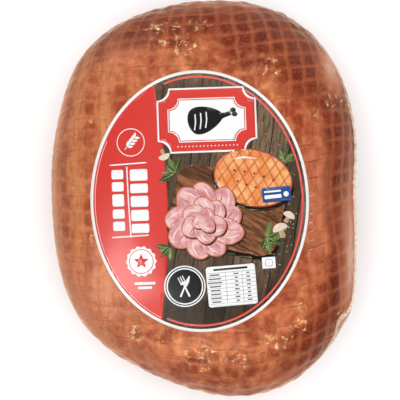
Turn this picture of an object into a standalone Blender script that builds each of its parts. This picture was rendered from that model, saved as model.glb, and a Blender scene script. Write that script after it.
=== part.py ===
"""A whole glazed ham, shrunk tight into a clear bag, with an oval label stuck on top.

The ham is a flattened, slightly lopsided oval. It lies on its back on a small flat, label up.
Metres, +Z up. X runs across the ham, +Y towards its upper end as the label reads, and the
origin is on the table, under the middle of the ham's bounding box.
"""

import math

import bmesh
import bpy

# Driving dimensions
HAM_LENGTH = 0.290
HAM_WIDTH = 0.223
HAM_HEIGHT = 0.122
BELT_HEIGHT = 0.054  # of the widest line round the ham, above the table
TOP_FULLNESS = 2.4  # superellipse power of the dome above the belt: 2 is round, more is boxier
BASE_FULLNESS = 2.3
BASE_SINK = 0.004  # how far the round underside would reach below the table if it weren't flat

# Slow waves that bend the outline away from a circle:
# lobes round it, height as a share of the mean radius, direction of the first lobe in degrees
OUTLINE_WAVES = (
    (1, 0.0285, 46),  # more meat towards the upper right
    (2, 0.1291, 94),  # the oval itself, leaning a little to the left
    (3, 0.0293, 60),  # narrows to a blunt tip below
    (4, 0.0307, 40),  # square shoulders
    (5, 0.0038, -5),  # and the rest are the uneven rim of tied meat
    (6, 0.0030, -1),
    (7, 0.0069, 22),
)
BELT_SWAY = 0.005  # the widest line dips and rises this much on its way round
BELT_SWAY_TOWARDS = 200

# Hollows in the top, where muscles meet under the net: place, reach and depth
HOLLOWS = (
    (0.017, 0.120, 0.024, 0.0030),  # above the label, between the two upper lobes
    (-0.040, -0.115, 0.028, 0.0022),  # the slack corner at the lower left
    (-0.070, 0.080, 0.024, 0.0014),
)

LABEL_WIDTH = 0.1545
LABEL_LENGTH = 0.1850
LABEL_CENTRE = (-0.0030, -0.0020)
LABEL_LEAN = 2.0  # degrees, anticlockwise seen from above
LABEL_THICKNESS = 0.0004
LABEL_GAP = 0.00035  # clearance between the touching solids

# Mesh density
ROUND_STEPS = 80
RING_STEPS = 46
LABEL_STEPS = 22


def clear_scene():
    """Removes the startup objects, so that the scene holds the ham alone."""
    for obj in list(bpy.data.objects):
        bpy.data.objects.remove(obj)


def food_material(name, colour, roughness, coat):
    """A Principled material with a clear coat, for what the shrunk film covers."""
    material = bpy.data.materials.new(name)
    material.use_nodes = True
    material.diffuse_color = (*colour, 1)
    shader = material.node_tree.nodes["Principled BSDF"]
    shader.inputs["Base Color"].default_value = (*colour, 1)
    shader.inputs["Roughness"].default_value = roughness
    shader.inputs["Metallic"].default_value = 0
    shader.inputs["Coat Weight"].default_value = coat
    return material


def add_object(name, mesh_builder, material, collection):
    """Links a new mesh object and fills it from a bmesh."""
    mesh = bpy.data.meshes.new(name)
    mesh_builder.to_mesh(mesh)
    mesh_builder.free()
    mesh.materials.append(material)
    obj = bpy.data.objects.new(name, mesh)
    collection.objects.link(obj)
    return obj


def outline_radius(direction):
    """Distance from the middle to the rim in that direction, for a mean radius of 1."""
    radius = 1.0
    for lobes, height, first_lobe in OUTLINE_WAVES:
        radius += height * math.cos(lobes * (direction - math.radians(first_lobe)))
    return radius


def belt_height(direction):
    """Height of the widest line in that direction."""
    return BELT_HEIGHT + BELT_SWAY * math.cos(direction - math.radians(BELT_SWAY_TOWARDS))


def shape_body(bm):
    """Turns a unit sphere into the ham's body: rim outline, dome and pressed base."""
    for vert in bm.verts:
        x, y, up = vert.co
        direction = math.atan2(y, x)
        out = math.hypot(x, y)
        fullness = TOP_FULLNESS if up > 0 else BASE_FULLNESS
        reach = outline_radius(direction) * out ** (2 / fullness)
        vert.co.x = reach * math.cos(direction)
        vert.co.y = reach * math.sin(direction)
        belt = belt_height(direction)
        if up > 0:
            vert.co.z = belt + (HAM_HEIGHT - belt) * up ** (2 / fullness)
        else:
            vert.co.z = belt - (belt + BASE_SINK) * (-up) ** (2 / fullness)


def size_outline(bm):
    """Scales and centres the body so that its plan fills HAM_WIDTH by HAM_LENGTH."""
    for axis, size in ((0, HAM_WIDTH), (1, HAM_LENGTH)):
        places = [vert.co[axis] for vert in bm.verts]
        low, high = min(places), max(places)
        for vert in bm.verts:
            vert.co[axis] = (vert.co[axis] - (low + high) / 2) * size / (high - low)


def press_hollows(bm):
    """Sinks the soft hollows into the upper side."""
    for vert in bm.verts:
        share_up = max(0.0, vert.co.z / HAM_HEIGHT - 0.4) / 0.6
        for x, y, reach, depth in HOLLOWS:
            away = math.hypot(vert.co.x - x, vert.co.y - y) / reach
            vert.co.z -= depth * share_up * math.exp(-(away**2))


def flatten_base(bm):
    """Cuts the underside off at the table, which leaves the flat that it rests on."""
    parts = [*bm.verts, *bm.edges, *bm.faces]
    down = (0, 0, -1)
    cut = bmesh.ops.bisect_plane(bm, geom=parts, plane_co=(0, 0, 0), plane_no=down, clear_outer=True)
    rim = [part for part in cut["geom_cut"] if isinstance(part, bmesh.types.BMEdge)]
    bmesh.ops.holes_fill(bm, edges=rim)


def build_ham(collection):
    """The ham and the film shrunk onto it, as one solid."""
    bm = bmesh.new()
    bmesh.ops.create_uvsphere(bm, u_segments=ROUND_STEPS, v_segments=RING_STEPS, radius=1)
    shape_body(bm)
    size_outline(bm)
    press_hollows(bm)
    flatten_base(bm)
    bmesh.ops.recalc_face_normals(bm, faces=bm.faces)
    glaze = food_material("glazed_meat", (0.42, 0.12, 0.05), 0.45, 1.0)
    ham = add_object("ham_in_film", bm, glaze, collection)
    ham.data.shade_smooth()
    return ham


def round_off_grid(bm):
    """Bends a square grid of side 2 into a disc of radius 1, with even quads and no pole."""
    for vert in bm.verts:
        x, y = vert.co.x, vert.co.y
        vert.co.x = x * math.sqrt(1 - y * y / 2)
        vert.co.y = y * math.sqrt(1 - x * x / 2)


def lay_on(obj, support):
    """Drops a flat sheet straight down onto the support and gives it its thickness."""
    wrap = obj.modifiers.new("Lie on the film", "SHRINKWRAP")
    wrap.target = support
    wrap.wrap_method = "PROJECT"
    wrap.use_project_z = True
    wrap.use_negative_direction = True
    wrap.use_positive_direction = False
    wrap.offset = LABEL_GAP
    paper = obj.modifiers.new("Paper", "SOLIDIFY")
    paper.thickness = LABEL_THICKNESS
    paper.offset = 1


def build_label(ham, collection):
    """The oval label, a thin sheet that follows the dome."""
    bm = bmesh.new()
    bmesh.ops.create_grid(bm, x_segments=LABEL_STEPS, y_segments=LABEL_STEPS, size=1)
    round_off_grid(bm)
    bmesh.ops.scale(bm, verts=bm.verts, vec=(LABEL_WIDTH / 2, LABEL_LENGTH / 2, 1))
    paper = food_material("label_paper", (0.75, 0.06, 0.04), 0.3, 0.6)
    label = add_object("label", bm, paper, collection)
    label.location = (*LABEL_CENTRE, 2 * HAM_HEIGHT)
    label.rotation_euler.z = math.radians(LABEL_LEAN)
    label.data.shade_smooth()
    lay_on(label, ham)
    return label


def main():
    clear_scene()
    collection = bpy.data.collections.new("glazed_ham")
    bpy.context.scene.collection.children.link(collection)
    ham = build_ham(collection)
    build_label(ham, collection)


main()
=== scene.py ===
"""The looks of a whole glazed ham in shrunk clear film, with an oval label on its upper side."""

import math
import random
from functools import partial

import bmesh
import bpy
import numpy as np
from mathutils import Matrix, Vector, noise
from mathutils.bvhtree import BVHTree


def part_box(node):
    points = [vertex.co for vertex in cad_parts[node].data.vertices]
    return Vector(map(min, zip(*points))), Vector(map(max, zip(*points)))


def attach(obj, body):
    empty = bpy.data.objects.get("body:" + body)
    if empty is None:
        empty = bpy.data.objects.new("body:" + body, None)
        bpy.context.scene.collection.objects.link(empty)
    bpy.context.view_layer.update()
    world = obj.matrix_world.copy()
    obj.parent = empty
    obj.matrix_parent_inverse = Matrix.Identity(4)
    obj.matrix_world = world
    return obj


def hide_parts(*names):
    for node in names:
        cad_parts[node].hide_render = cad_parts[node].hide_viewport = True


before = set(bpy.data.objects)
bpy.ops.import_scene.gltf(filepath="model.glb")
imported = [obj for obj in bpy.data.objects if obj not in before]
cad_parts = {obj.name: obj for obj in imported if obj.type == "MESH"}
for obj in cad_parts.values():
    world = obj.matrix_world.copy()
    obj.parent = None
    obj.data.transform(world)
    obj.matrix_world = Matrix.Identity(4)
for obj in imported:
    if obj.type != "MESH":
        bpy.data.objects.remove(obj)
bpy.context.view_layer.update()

MM = 0.001
_, HAM_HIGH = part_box("ham_in_film")
LABEL_LOW, LABEL_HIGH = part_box("label")

# The cooking net, whose print covers the meat
NET_COLUMNS = 46  # threads along the ham
NET_ROWS = 43  # threads round it
STEPS_ACROSS = 6  # mesh steps from one thread to the next, round the ham
STEPS_ALONG = 7  # and along it
HEART = Vector((0.0, 0.0, 0.45 * HAM_HIGH.z))
NET_START = Vector((0, 0.105, 0))  # where the threads gather, under the upper end
NET_END = Vector((0, -0.080, 0))  # and under the lower end
NET_LEAN = 0.06  # how far the threads round the ham rise to its right side, as a share of its length
GROOVE_DEPTH = 1.0 * MM
GROOVE_WIDTH = 0.13  # of a cell
PILLOW_HEIGHT = 0.5 * MM

# Where film bridges a hollow, so that the pack swells from the frame: middle, reach, and height
SWELLS = (
    ((0.110, -0.012, 0.052), (0.030, 0.032, 0.034), 2.4 * MM),
    ((0.104, -0.079, 0.056), (0.030, 0.013, 0.026), 2.6 * MM),
)

# Where the meat is lightened and made milky: partly loose film, partly a painted haze that stands for the
# softboxes' reflection in the film. Middle, reach, and how much
MILKY_FILM_AND_PAINTED_HAZE = (
    ((0.107, -0.038, 0.076), (0.014, 0.052, 0.012), 2.0),
    ((0.008, 0.141, 0.072), (0.048, 0.012, 0.016), 0.6),
    ((-0.082, -0.074, 0.085), (0.024, 0.034, 0.034), 1.25),
    ((-0.060, 0.098, 0.090), (0.028, 0.026, 0.030), 0.3),
    ((-0.040, -0.112, 0.090), (0.026, 0.012, 0.030), 0.6),
    ((0.092, 0.096, 0.079), (0.009, 0.018, 0.018), 2.1),
    ((0.082, -0.002, 0.110), (0.012, 0.060, 0.018), 0.9),
)

# The welded seam
SEAM_HEADINGS = (-58, 40)  # where it starts and ends, in degrees from the right, upwards
SEAM_CORNER = -42  # where it is gathered
SEAM_LEVEL = 69 * MM
SEAM_HEIGHT = 1.8 * MM
SEAM_GATHER = 2.6 * MM  # how much higher it stands where it is gathered
SEAM_THICKNESS = 0.15 * MM

# How far each layer lies from the frame's own surface
MEAT_LIFT = 0.15 * MM
FILM_LIFT = 0.3 * MM
LABEL_LIFT = 0.75 * MM
MEAT_FLOOR = 0.5 * MM  # and how near each comes to the floor
FILM_FLOOR = 0.15 * MM
PAPER_THICKNESS = 0.12 * MM
INK_STEP = 0.03 * MM  # from one layer of print to the next
INK_THICKNESS = 0.01 * MM
BEND_STEP = 3 * MM  # how finely the print is cut to follow the ham

TOASTED_SIDE = math.radians(28)  # the ham is browned most on this side, towards the upper right
LABEL_LEAN = math.radians(2.0)
LABEL_HALF_WIDTH = 77.2  # in mm, as all of the label's own sizes
LABEL_HALF_LENGTH = 92.5
LABEL_CENTRE = Vector(((LABEL_LOW.x + LABEL_HIGH.x) / 2, (LABEL_LOW.y + LABEL_HIGH.y) / 2, 0))

THROUGH_FILM = 1.27  # what the meat's colours gain, as film and shade take light from them
STUDIO_LIGHT = 1.3  # how much brighter than its own colour a flat white card looks
CAMERA_HEIGHT = 1.6
BELT_HEIGHT = 0.054  # where the ham is widest
PICTURE_MIDDLE = (-2.8 * MM, -1.2 * MM)
PICTURE_WIDTH_AT_BELT = 0.294


# ---- working by hand


def deselect():
    """Leaves nothing selected, in object mode."""
    if bpy.context.object and bpy.context.object.mode != "OBJECT":
        bpy.ops.object.mode_set(mode="OBJECT")
    bpy.ops.object.select_all(action="DESELECT")


def pick(obj):
    """Selects this object alone and makes it the active one."""
    deselect()
    obj.select_set(True)
    bpy.context.view_layer.objects.active = obj


def new_piece(name, add, **options):
    """Adds a primitive with the given operator and names it."""
    deselect()
    add(**options)
    piece = bpy.context.object
    piece.name = piece.data.name = name
    return piece


def new_grid(name, columns, rows):
    """A flat grid of so many faces each way, from -1 to 1."""
    add = bpy.ops.mesh.primitive_grid_add
    return new_piece(name, add, x_subdivisions=columns, y_subdivisions=rows, size=2)


def edit_all(obj, operator, **options):
    """Runs an edit-mode operator on the whole mesh."""
    pick(obj)
    bpy.ops.object.mode_set(mode="EDIT")
    bpy.ops.mesh.select_all(action="SELECT")
    operator(**options)
    bpy.ops.object.mode_set(mode="OBJECT")


def join(name, pieces):
    """Makes one piece of several."""
    pick(pieces[0])
    for piece in pieces:
        piece.select_set(True)
    if len(pieces) > 1:
        bpy.ops.object.join()
    pieces[0].name = pieces[0].data.name = name
    return pieces[0]


def apply_modifier(obj, kind, **options):
    """Adds a modifier with its options and applies it at once."""
    pick(obj)
    modifier = obj.modifiers.new(kind.title(), kind)
    for option, value in options.items():
        setattr(modifier, option, value)
    bpy.ops.object.modifier_apply(modifier=modifier.name)


def bake_place(obj):
    """Moves the object's place, turn and scale into its mesh."""
    pick(obj)
    bpy.ops.object.transform_apply(location=True, rotation=True, scale=True)


def vertex_array(obj):
    places = np.empty(len(obj.data.vertices) * 3)
    obj.data.vertices.foreach_get("co", places)
    return places.reshape(-1, 3)


def set_vertices(obj, places):
    obj.data.vertices.foreach_set("co", np.ascontiguousarray(places, dtype=np.float32).ravel())
    obj.data.update()


# ---- shader nodes in short


class Tree:
    """Builds one node tree, a material's or a group's, with a short call for each node."""

    def __init__(self, tree):
        self.tree = tree
        self.tree.nodes.clear()

    def add(self, kind, inputs=(), **settings):
        """Adds a node. inputs maps socket names or places to values or to other nodes' outputs."""
        node = self.tree.nodes.new(kind)
        for setting, value in settings.items():
            setattr(node, setting, value)
        for socket, value in dict(inputs).items():
            self.feed(node.inputs[socket], value)
        return node

    def feed(self, socket, value):
        if isinstance(value, bpy.types.NodeSocket):
            self.tree.links.new(value, socket)
        elif isinstance(value, tuple) and len(value) == 3 and socket.type == "RGBA":
            socket.default_value = (*value, 1)
        else:
            socket.default_value = value

    def maths(self, operation, a, b=0.0, c=0.0):
        return self.add("ShaderNodeMath", {0: a, 1: b, 2: c}, operation=operation).outputs[0]

    def times(self, *values):
        """The product of two or more values."""
        product = values[0]
        for value in values[1:]:
            product = self.maths("MULTIPLY", product, value)
        return product

    def scaled(self, value, gain, plus):
        return self.maths("MULTIPLY_ADD", value, gain, plus)

    def most(self, a, b):
        return self.maths("MAXIMUM", a, b)

    def blend(self, share, a, b):
        """Mixes two colours."""
        node = self.add("ShaderNodeMix", data_type="RGBA")
        self.feed(node.inputs[0], share)
        self.feed(node.inputs[6], a)
        self.feed(node.inputs[7], b)
        return node.outputs[2]

    def ramp(self, value, low, high, to_low=0.0, to_high=1.0):
        """Maps low..high to to_low..to_high along an S, held at both ends."""
        inputs = {"Value": value, "From Min": low, "From Max": high}
        node = self.add("ShaderNodeMapRange", inputs, interpolation_type="SMOOTHSTEP")
        self.feed(node.inputs["To Min"], to_low)
        self.feed(node.inputs["To Max"], to_high)
        return node.outputs[0]

    def noise(self, vector, scale, detail=2.0, roughness=0.5, stretch=(1, 1, 1)):
        """A noise value, with its grain stretched along an axis if asked."""
        placed = self.place(vector, stretch)
        inputs = {"Vector": placed, "Scale": scale, "Detail": detail, "Roughness": roughness}
        return self.add("ShaderNodeTexNoise", inputs).outputs["Fac"]

    def place(self, vector, scale=(1, 1, 1), turn=0.0, move=(0, 0, 0)):
        node = self.add("ShaderNodeMapping", {"Vector": vector, "Scale": scale, "Location": move})
        node.inputs["Rotation"].default_value = (0, 0, turn)
        return node.outputs[0]

    def shift(self, vector, scale):
        """A noise vector, from 0 to 1 each way."""
        node = self.add("ShaderNodeTexNoise", {"Vector": vector, "Scale": scale, "Detail": 2.0})
        return node.outputs["Color"]

    def attribute(self, name):
        return self.add("ShaderNodeAttribute", (), attribute_name=name).outputs["Fac"]

    def vector(self, operation, a, b=(0, 0, 0)):
        """Maths on vectors. Returns a number for a length or a dot product, otherwise a vector."""
        node = self.add("ShaderNodeVectorMath", {0: a}, operation=operation)
        if operation not in ("LENGTH", "NORMALIZE", "FLOOR"):
            self.feed(node.inputs[1], b)
        return node.outputs["Value" if operation in ("LENGTH", "DOT_PRODUCT") else "Vector"]

    def split(self, vector):
        return self.add("ShaderNodeSeparateXYZ", {0: vector}).outputs

    def group(self, group, inputs=()):
        node = self.add("ShaderNodeGroup", node_tree=group)
        for socket, value in dict(inputs).items():
            self.feed(node.inputs[socket], value)
        return node.outputs

    def bump(self, height, distance, strength):
        inputs = {"Height": height, "Distance": distance, "Strength": strength}
        return self.add("ShaderNodeBump", inputs).outputs[0]

    def surface(self, kind, inputs):
        """Ends a material's tree in a shader."""
        shader = self.add(kind, inputs)
        self.add("ShaderNodeOutputMaterial", {"Surface": shader.outputs[0]})


def new_group(name, inputs, outputs):
    """Makes a shader node group. Returns it with its tree, its inputs and a call that sets its outputs."""
    group = bpy.data.node_groups.new(name, "ShaderNodeTree")
    for socket, (kind, value) in inputs.items():
        made = group.interface.new_socket(socket, in_out="INPUT", socket_type=kind)
        if value is not None:
            made.default_value = value
    for socket, kind in outputs.items():
        group.interface.new_socket(socket, in_out="OUTPUT", socket_type=kind)
    tree = Tree(group)
    given = tree.add("NodeGroupInput").outputs
    ends = tree.add("NodeGroupOutput").inputs

    def give(**results):
        for socket, value in results.items():
            tree.feed(ends[socket], value)

    return group, tree, given, give


def new_material(name, rough_colour):
    """A material, its tree, and the node output that gives a point's place."""
    material = bpy.data.materials.new(name)
    material.use_nodes = True
    material.diffuse_color = (*rough_colour, 1)
    tree = Tree(material.node_tree)
    return material, tree, tree.add("ShaderNodeTexCoord").outputs["Object"]


def paint(red, green, blue, gain=1.0):
    """A colour, 0 to 255, as it is to look under the studio's light."""
    shares = [part / 255 for part in (red, green, blue)]
    linear = [share / 12.92 if share < 0.04045 else ((share + 0.055) / 1.055) ** 2.4 for share in shares]
    return tuple(gain * share / STUDIO_LIGHT for share in linear)


def lit(red, green, blue):
    """A colour of the meat, as it is to look through the film."""
    return paint(red, green, blue, THROUGH_FILM)


PRINCIPLED = "ShaderNodeBsdfPrincipled"
FLOAT, VECTOR, COLOUR = "NodeSocketFloat", "NodeSocketVector", "NodeSocketColor"


def net_marks():
    """Where a point lies in the net's print, from a UV map that counts threads."""
    group, tree, given, give = new_group(
        "Net marks",
        {"UV": (VECTOR, None), "Line": (FLOAT, GROOVE_WIDTH)},
        dict.fromkeys(("Along", "Across", "Crease", "Cell", "Chance"), FLOAT) | {"Threads": VECTOR},
    )
    straight = tree.place(given["UV"], (NET_COLUMNS, NET_ROWS, 1))
    wander = tree.vector("SUBTRACT", tree.shift(straight, 0.7), (0.5, 0.5, 0.5))
    wander = tree.vector("MULTIPLY", wander, (0.5, 0.5, 0))
    counted = tree.vector("ADD", straight, wander)
    across, along, _ = tree.split(counted)
    lines = []
    insides = []
    for count in (across, along):
        from_line = tree.maths("PINGPONG", count, 0.5)
        lines.append(tree.ramp(from_line, 0.0, tree.times(given["Line"], 1.6), 1.0, 0.0))
        insides.append(tree.ramp(from_line, 0.03, 0.3))
    cell = tree.times(insides[0], insides[1])
    cell_number = tree.vector("FLOOR", counted)
    chance = tree.add("ShaderNodeTexWhiteNoise", {"Vector": cell_number}).outputs["Value"]
    crease = tree.ramp(tree.maths("PINGPONG", along, 0.5), 0.015, 0.06, 1.0, 0.0)
    give(Along=lines[0], Across=lines[1], Crease=crease, Cell=cell, Chance=chance, Threads=counted)
    return group


# ---- materials


def browning(tree, place, broad):
    """The height of a point with some unevenness, and where the ham is toasted and where golden."""
    # Shares of the way out from the label's middle: 1 at its edge, about 1.4 at the ham's outline
    half_size = Vector((LABEL_HALF_WIDTH, LABEL_HALF_LENGTH)) * MM
    share = (1 / half_size.x, 1 / half_size.y, 0)
    shift = (-LABEL_CENTRE.x / half_size.x, -LABEL_CENTRE.y / half_size.y, 0)
    outward = tree.place(place, share, move=shift)
    heading = tree.vector("DIVIDE", outward, tree.most(tree.vector("LENGTH", outward), 0.9))

    def facing(x, y):
        return tree.vector("DOT_PRODUCT", heading, (x, y, 0))

    level = tree.scaled(broad, 0.02, tree.split(place)[2])
    level = tree.scaled(tree.ramp(facing(0.55, 0.83), 0.85, 1.0), -0.012, level)
    side = tree.ramp(facing(math.cos(TOASTED_SIDE), math.sin(TOASTED_SIDE)), -0.08, 0.3)
    toasted = tree.times(side, tree.ramp(level, 0.112, 0.105))
    top_end = tree.ramp(tree.vector("DOT_PRODUCT", outward, (-0.1, 1, 0)), 1.14, 1.3)
    toasted = tree.most(toasted, tree.times(top_end, 0.8))
    golden = tree.times(tree.ramp(facing(-1, 0), 0.35, 0.8), tree.ramp(level, 0.045, 0.085, 0.3, 1.0))
    return level, toasted, golden


def meat_material(marks):
    """Smoked and glazed meat: toasted on the outer cells, golden down the left, pale along the threads."""
    material, tree, place = new_material("glazed meat", (0.42, 0.12, 0.05))
    net = tree.group(marks, {"UV": tree.add("ShaderNodeTexCoord").outputs["UV"]})
    threads = net["Threads"]
    broad = tree.noise(place, 16)
    patches = tree.noise(place, 60)
    blotches = tree.noise(place, 150)
    pinched = tree.attribute("pinched")

    level, toasted, golden = browning(tree, place, broad)

    # The meat between the marks
    uneven = tree.scaled(blotches, 0.4, tree.times(patches, 0.6))
    lightness = tree.ramp(uneven, 0.36, 0.64)
    base = tree.blend(lightness, lit(158, 64, 35), lit(219, 136, 90))

    def lay(share, colour):
        nonlocal base
        base = tree.blend(share, base, colour)

    lay(golden, tree.blend(lightness, lit(178, 88, 48), lit(214, 138, 94)))
    lay(toasted, tree.blend(lightness, lit(124, 34, 8), lit(158, 62, 26)))
    mottles = tree.noise(threads, 1.1, 3, 0.6)
    lay(tree.ramp(mottles, 0.48, 0.7, 0.0, 0.5), lit(150, 62, 34))
    amber = tree.ramp(tree.noise(place, 120, stretch=(1, 0.7, 1)), 0.56, 0.72)
    amber = tree.times(amber, tree.ramp(toasted, 0.0, 1.0, 0.55, 0.1))
    lay(amber, lit(216, 146, 86))

    # Cells: browned in drifts, and each one a little by its own chance
    drift = tree.noise(threads, 0.33)
    browned = tree.ramp(tree.scaled(net["Chance"], 0.25, drift), 0.42, 0.76, 0.35, 1.0)
    seen = tree.ramp(tree.noise(place, 26), 0.42, 0.58, 0.35, 1.0)
    seen = tree.most(tree.most(toasted, seen), tree.times(golden, 0.75))
    seen = tree.most(seen, tree.ramp(level, 0.08, 0.05, 0.0, 0.9))
    cell = tree.times(net["Cell"], browned, seen, tree.scaled(toasted, 0.2, 0.6))
    lay(cell, tree.blend(toasted, lit(138, 46, 22), lit(94, 14, 2)))

    # Lines: broad golden bands down the left side, on every other thread, and thin and pale elsewhere
    across = tree.split(threads)[0]
    from_band = tree.maths("PINGPONG", tree.scaled(across, 0.5, 0.25), 0.5)
    streaks = tree.noise(threads, 1, 3, 0.6, stretch=(5, 0.3, 1))
    band = tree.ramp(tree.scaled(streaks, -0.3, from_band), -0.1, 0.15, 0.7, 0.0)
    lay(tree.times(band, golden), lit(218, 152, 98))
    lay(tree.times(net["Along"], tree.scaled(seen, 0.16, 0.08)), lit(212, 134, 90))
    lay(tree.times(net["Across"], tree.scaled(seen, 0.14, 0.06)), lit(214, 136, 94))

    # Under pinched film: painted shade as dark specks, beside painted glints as bright cream spots,
    # standing for the crumpled film's own shade and glints
    pinch_shade = tree.ramp(tree.noise(place, 210, 3, 0.6), 0.5, 0.6)
    lay(tree.times(pinch_shade, pinched, 0.5), lit(126, 42, 18))
    painted_glints = tree.noise(place, 230, 2, 0.6, stretch=(1, 0.8, 1))
    glint_share = tree.ramp(pinched, 0.05, 0.7)
    lay(tree.times(tree.ramp(painted_glints, 0.5, 0.64, 0.0, 0.7), glint_share), lit(238, 178, 108))
    lay(tree.times(tree.ramp(painted_glints, 0.61, 0.67, 0.0, 0.9), glint_share), lit(255, 240, 196))

    # Under loose film, and where a painted haze stands for the film's reflection of the softboxes: lighter,
    # and milky where strongest
    milky_film_and_painted_haze = tree.times(tree.attribute("milky_film_and_painted_haze"), tree.scaled(uneven, 0.6, 0.6))
    lay(tree.ramp(milky_film_and_painted_haze, 0.0, 1.0, 0.0, 0.8), lit(212, 136, 98))
    lay(tree.ramp(milky_film_and_painted_haze, 0.9, 2.0, 0.0, 0.85), lit(228, 196, 174))

    # Short dark marks across the ham, painted shade in the thin creases where a thread cut in, and fine
    # fibres
    marks_across = tree.noise(threads, 1, 4, 0.65, stretch=(0.8, 6, 1))
    lay(tree.ramp(marks_across, 0.54, 0.74, 0.0, 0.5), lit(134, 54, 28))
    groove_shade = tree.ramp(tree.noise(threads, 0.6, 3, 0.6), 0.44, 0.6, 0.0, 0.65)
    groove_shade = tree.times(groove_shade, tree.ramp(golden, 0.0, 1.0, 1.0, 0.5))
    lay(tree.times(net["Crease"], groove_shade, tree.ramp(toasted, 0.5, 0.0)), lit(118, 46, 24))
    fibres = tree.noise(place, 330, 3, 0.6, stretch=(1, 0.25, 1))
    lay(tree.ramp(fibres, 0.45, 0.7, 0.0, 0.35), lit(140, 60, 32))
    grain = tree.noise(place, 720, 2, 0.6)
    lay(tree.ramp(grain, 0.45, 0.75, 0.0, 0.2), lit(228, 164, 116))
    height = tree.scaled(fibres, 0.8, blotches)
    looks = {"Base Color": base, "Roughness": 0.5, "Specular IOR Level": 0.12}
    tree.surface(PRINCIPLED, looks | {"Normal": tree.bump(height, 0.4 * MM, 0.6)})
    return material


def film_material():
    """Clear film: what isn't mirrored goes straight through. Where it is pinched it breaks into facets."""
    material, tree, place = new_material("clear film", (0.9, 0.9, 0.9))
    pinched = tree.attribute("pinched")
    loose = tree.ramp(tree.noise(place, 30), 0.45, 0.7)
    crinkle = tree.noise(place, 190, 3, 0.6)
    fine = tree.noise(place, 620)
    ripples = tree.noise(place, 260, stretch=(0.3, 1.5, 1))
    height = tree.times(crinkle, tree.scaled(loose, 0.5, 0.2))
    height = tree.scaled(ripples, 0.45, height)
    height = tree.scaled(fine, 0.3, height)
    smooth = tree.bump(height, 0.8 * MM, 0.5)
    bent = tree.vector("MULTIPLY", tree.shift(place, 300), (0.004, 0.004, 0.004))
    bent = tree.vector("ADD", place, bent)
    facets = tree.add("ShaderNodeTexVoronoi", {"Vector": bent, "Scale": 260}).outputs["Color"]
    tilt = tree.vector("SUBTRACT", facets, (0.5, 0.5, 0.5))
    tilt = tree.vector("MULTIPLY", tilt, tree.scaled(pinched, 0.8, 0.02))
    normal = tree.vector("NORMALIZE", tree.vector("ADD", smooth, tilt))
    mirrored = tree.add("ShaderNodeFresnel", {"IOR": 1.28, "Normal": normal}).outputs[0]
    clear = tree.add("ShaderNodeBsdfTransparent", {"Color": (1.0, 1.0, 1.0)}).outputs[0]
    gloss_roughness = tree.ramp(pinched, 0.1, 0.5, 0.24, 0.12)
    tint = (1.0, 0.76, 0.6, 1.0)
    sockets = {"Color": tint, "Roughness": gloss_roughness, "Normal": normal}
    gloss = tree.add("ShaderNodeBsdfGlossy", sockets).outputs[0]
    tree.surface("ShaderNodeMixShader", {0: mirrored, 1: clear, 2: gloss})
    return material


def creased_film_material(name, colour, thickness):
    """Film that is doubled or pinched: it catches more light, and looks a little milky. On the pinches its
    pale colour is also a painted glint.
    """
    material, tree, place = new_material(name, colour)
    streaks = tree.noise(place, 300, 3, 0.6)
    height = tree.noise(place, 700, 2, 0.6)
    looks = {"Base Color": colour, "Roughness": 0.22, "Specular IOR Level": 0.8}
    looks["Alpha"] = tree.ramp(streaks, 0.3, 0.7, *thickness)
    tree.surface(PRINCIPLED, looks | {"Normal": tree.bump(height, 0.3 * MM, 0.5)})
    return material


def plain_material(name, colour, roughness):
    material, tree, place = new_material(name, colour)
    grain = tree.noise(place, 900)
    shade = tree.blend(tree.ramp(grain, 0.3, 0.7, 0.0, 0.06), colour, tuple(c * 0.8 for c in colour))
    tree.surface(PRINCIPLED, {"Base Color": shade, "Roughness": roughness})
    return material


# ---- the ham's surface, counted in threads


def search_of(piece):
    """A search tree of a piece."""
    piece.data.calc_loop_triangles()
    triangles = [tuple(triangle.vertices) for triangle in piece.data.loop_triangles]
    return BVHTree.FromPolygons([vertex.co.copy() for vertex in piece.data.vertices], triangles)


def smooth_guide():
    """A search tree of the frame's ham, merged and rounded."""
    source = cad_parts["ham_in_film"]
    mesh = bmesh.new()
    mesh.from_mesh(source.data)
    bmesh.ops.remove_doubles(mesh, verts=mesh.verts, dist=0.02 * MM)
    guide = bpy.data.objects.new("guide", bpy.data.meshes.new("guide"))
    mesh.to_mesh(guide.data)
    mesh.free()
    bpy.context.scene.collection.objects.link(guide)
    apply_modifier(guide, "SUBSURF", levels=1, render_levels=1)
    search = search_of(guide)
    bpy.data.objects.remove(guide)
    return search


def wobble(a, b, size, seed):
    """Slow unevenness of about 1 either way, over two counts of threads. It closes round the ham."""
    chance = random.Random(seed)
    total = np.zeros(np.broadcast(a, b).shape)
    for _ in range(7):
        turns = chance.randint(-size, size)
        along = chance.uniform(0.3, size)
        phase = chance.uniform(0, 2 * math.pi)
        total = total + np.sin(2 * math.pi * (turns * a + along * b) + phase)
    return total / 3.5


def net_directions(share_round, share_along):
    """Rays from the heart, for shares of the way round the ham and along it, as the threads run."""
    start = np.array((NET_START - HEART).normalized())
    end = np.array((NET_END - HEART).normalized())
    axis = Vector(start - end).normalized()
    side = axis.cross((0, 0, 1)).normalized()
    up = side.cross(axis)
    turn = 2 * math.pi * share_round - math.pi / 2
    outward = np.cos(turn)[..., None] * np.array(side) + np.sin(turn)[..., None] * np.array(up)
    bend = (math.pi * share_along)[..., None]
    rays = start * (1 + np.cos(bend)) / 2 + end * (1 - np.cos(bend)) / 2 + outward * np.sin(bend)
    return rays / np.linalg.norm(rays, axis=-1, keepdims=True)


def cast(search, rays):
    """Where rays from the heart meet the ham."""
    flat = rays.reshape(-1, 3)
    hits = [search.ray_cast(HEART, Vector(ray))[0] for ray in flat]
    return np.array([tuple(hit) for hit in hits]).reshape(rays.shape)


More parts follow.
